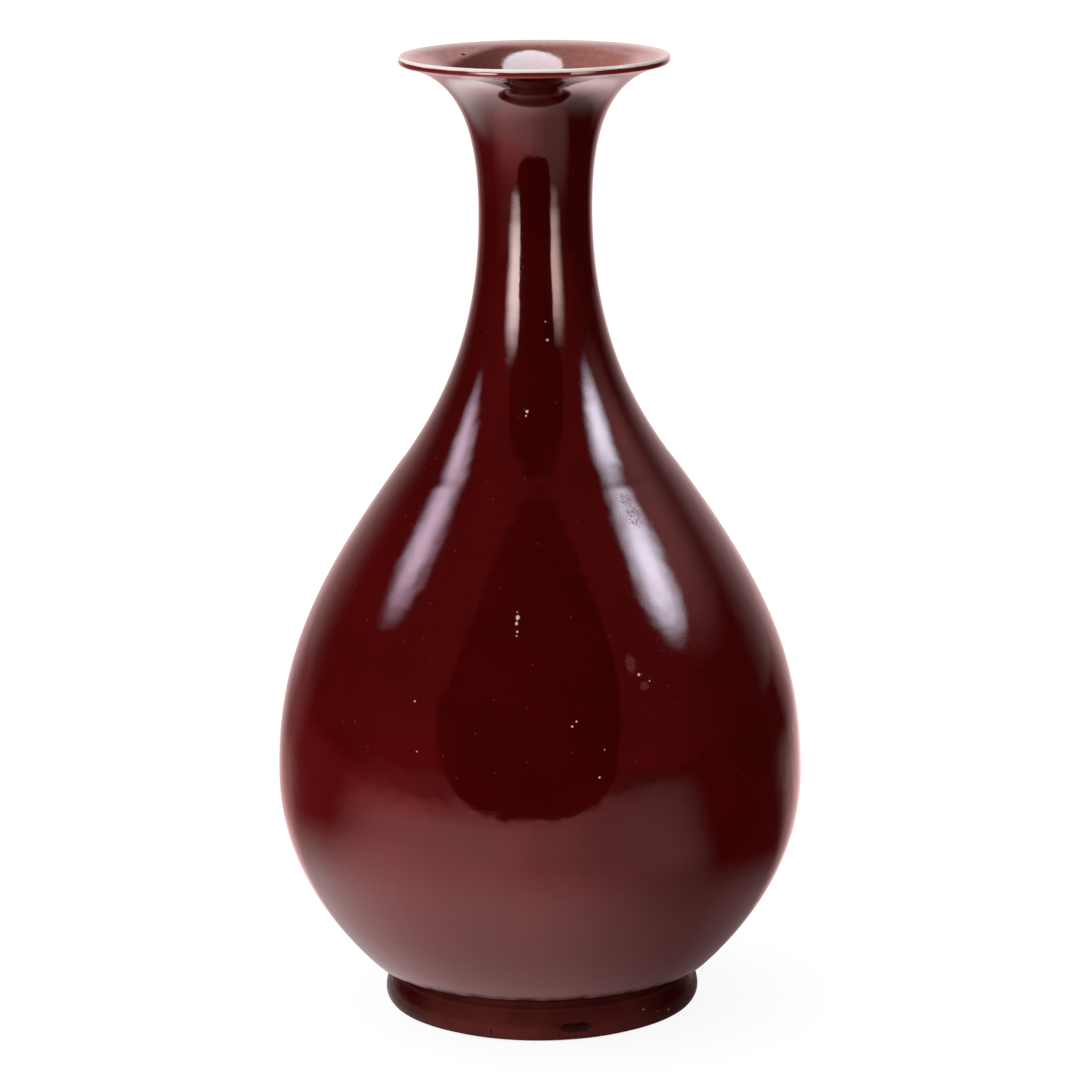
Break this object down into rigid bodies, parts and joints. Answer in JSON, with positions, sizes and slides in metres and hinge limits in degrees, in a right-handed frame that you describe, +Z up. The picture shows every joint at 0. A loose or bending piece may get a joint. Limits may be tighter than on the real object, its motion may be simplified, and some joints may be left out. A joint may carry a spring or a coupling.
{
  "type": "pear-shaped bottle vase",
  "caption": "Pear-shaped porcelain bottle vase with a narrow neck, a flared mouth with a pale lip, a dark red glaze and a low foot ring; holds a flower stem or stands as an ornament.",
  "frame": {"origin": "on the vase's axis, in the plane that its foot stands on", "axes": "+Z up along the axis of the vase; it is the same all round, so X and Y are free"},
  "size_m": [0.1644, 0.1644, 0.3],
  "materials": {
    "porcelain": "bare fired porcelain, matt",
    "slip": "fired luting slip, matt",
    "red_glaze": "glossy copper-red glaze",
    "pale_glaze": "glossy clear glaze over white porcelain",
    "hollow_glaze": "glossy thin glaze, pink-brown",
    "base_glaze": "glossy clear glaze"
  },
  "bodies": {
    "root": {"foot_ring": "porcelain", "foot_slip": "slip", "lower_body": "porcelain", "belly_slip": "slip", "upper_body": "porcelain", "neck_slip": "slip", "neck": "porcelain", "outer_glaze": "red_glaze", "lip_glaze": "pale_glaze", "inner_glaze": "hollow_glaze", "base_glaze": "base_glaze"}
  },
  "joints": []
}
